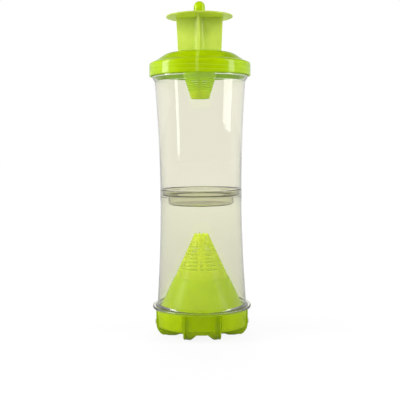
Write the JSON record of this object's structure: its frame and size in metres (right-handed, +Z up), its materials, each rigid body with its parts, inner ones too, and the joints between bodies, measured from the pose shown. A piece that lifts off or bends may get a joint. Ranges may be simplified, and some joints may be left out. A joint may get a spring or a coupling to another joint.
{
  "type": "wasp trap",
  "caption": "Tall hanging wasp trap: clear upper and lower chambers, a lime cap with vanes and an entry funnel, and a slotted cone over a footed base.",
  "frame": {"origin": "middle of the footprint, on the ground under the four feet", "axes": "+Z up along the trap's axis; the front foot points along -Y; +X to the right seen from the front"},
  "size_m": [0.1, 0.1, 0.33],
  "materials": {
    "lime_plastic": "moulded translucent polypropylene, glossy, lime green",
    "lime_film_plastic": "thin moulded translucent polypropylene, glossy, light lime",
    "clear_plastic": "clear moulded plastic with a faint cream tint, polished",
    "cup_plastic": "natural polypropylene, fine matt mould texture",
    "cotton": "pressed cotton wadding"
  },
  "bodies": {
    "lower": {"lower_chamber": "clear_plastic"},
    "upper": {"upper_chamber": "clear_plastic"},
    "cap": {"top_cap": "lime_plastic", "entry_funnel": "lime_plastic", "vane_cross": "lime_film_plastic", "roof_disc": "lime_film_plastic", "hanger_knob": "lime_plastic"},
    "base": {"base_ring": "lime_plastic", "foot_cross": "lime_plastic", "entry_cone": "lime_plastic"},
    "cup": {"attractant_cup": "cup_plastic", "cotton_pad": "cotton"},
    "lid": {"cup_lid": "cup_plastic"}
  },
  "joints": [
    {"name": "chamber_turn", "type": "hinge", "parent": "lower", "child": "upper", "pos_m": [0, 0, 0.142], "axis": [0, 0, 1], "range_deg": [0, 40]},
    {"name": "cap_turn", "type": "hinge", "parent": "upper", "child": "cap", "pos_m": [0, 0, 0.26], "axis": [0, 0, 1], "range_deg": [0, 40]},
    {"name": "base_turn", "type": "hinge", "parent": "lower", "child": "base", "pos_m": [0, 0, 0.024], "axis": [0, 0, -1], "range_deg": [0, 40]},
    {"name": "cup_turn", "type": "hinge", "parent": "base", "child": "cup", "pos_m": [0, 0, 0.024], "axis": [0, 0, -1], "range_deg": [0, 40]},
    {"name": "lid_flip", "type": "hinge", "parent": "cup", "child": "lid", "pos_m": [0, 0.0166, 0.029], "axis": [-1, 0, 0], "range_deg": [0, 90]}
  ]
}
